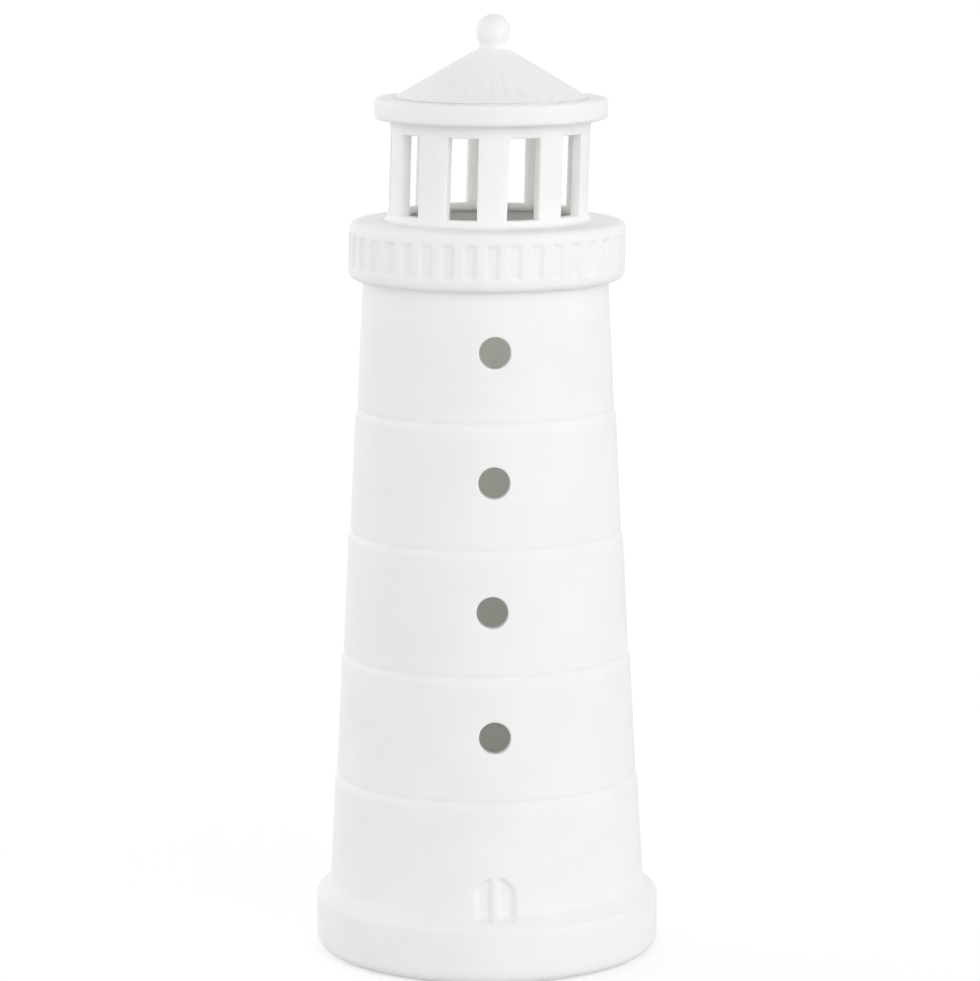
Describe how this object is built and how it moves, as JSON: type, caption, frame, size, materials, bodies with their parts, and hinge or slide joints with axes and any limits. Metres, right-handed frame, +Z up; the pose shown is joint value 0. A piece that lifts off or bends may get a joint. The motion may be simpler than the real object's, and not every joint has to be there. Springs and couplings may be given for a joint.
{
  "type": "porcelain lighthouse light",
  "caption": "Table light in the form of a tapered porcelain lighthouse, with a lift-off lantern top and a battery light that plugs into the open foot.",
  "frame": {"origin": "on the floor, on the tower's axis, at the centre of the foot ring", "axes": "+Z up along the tower's axis, -Y the front with the door and the round windows"},
  "size_m": [0.1032, 0.1032, 0.28],
  "materials": {
    "porcelain": "matt unglazed white",
    "insert_shell": "fine moulded texture",
    "silicone": "soft matt",
    "diffuser": "frosted",
    "circuit_board": "solder mask",
    "light_source": "phosphor in clear resin",
    "battery_can": "plain film over a metal can",
    "contact_metal": "nickel plated",
    "switch_plastic": "moulded black",
    "screw_steel": "zinc plated"
  },
  "bodies": {
    "tower": {"tower_shell": "porcelain"},
    "lantern_top": {"gallery_ring": "porcelain", "lantern_cage": "porcelain", "roof_cap": "porcelain", "ball_finial": "porcelain"},
    "light_unit": {"base_plate": "insert_shell", "top_housing": "insert_shell", "grip_ring": "silicone", "diffuser": "diffuser", "housing_screws": "screw_steel", "led_board": "circuit_board", "leds": "light_source", "battery_1": "battery_can", "battery_2": "battery_can", "battery_3": "battery_can", "contact_bridge_front": "contact_metal", "contact_bridge_rear": "contact_metal", "contact_negative": "contact_metal", "contact_positive": "contact_metal", "switch_body": "switch_plastic"},
    "switch": {"switch_knob": "switch_plastic"},
    "cover": {"battery_cover": "insert_shell", "cover_screws": "screw_steel"}
  },
  "joints": [
    {"name": "top_lift", "type": "slide", "parent": "tower", "child": "lantern_top", "axis": [0, 0, 1], "range_m": [0, 0.06]},
    {"name": "insert_pull", "type": "slide", "parent": "tower", "child": "light_unit", "axis": [0, 0, -1], "range_m": [0, 0.06]},
    {"name": "switch_slide", "type": "slide", "parent": "light_unit", "child": "switch", "axis": [0, 1, 0], "range_m": [0, 0.003]},
    {"name": "cover_drop", "type": "slide", "parent": "light_unit", "child": "cover", "axis": [0, 0, -1], "range_m": [0, 0.03]}
  ]
}
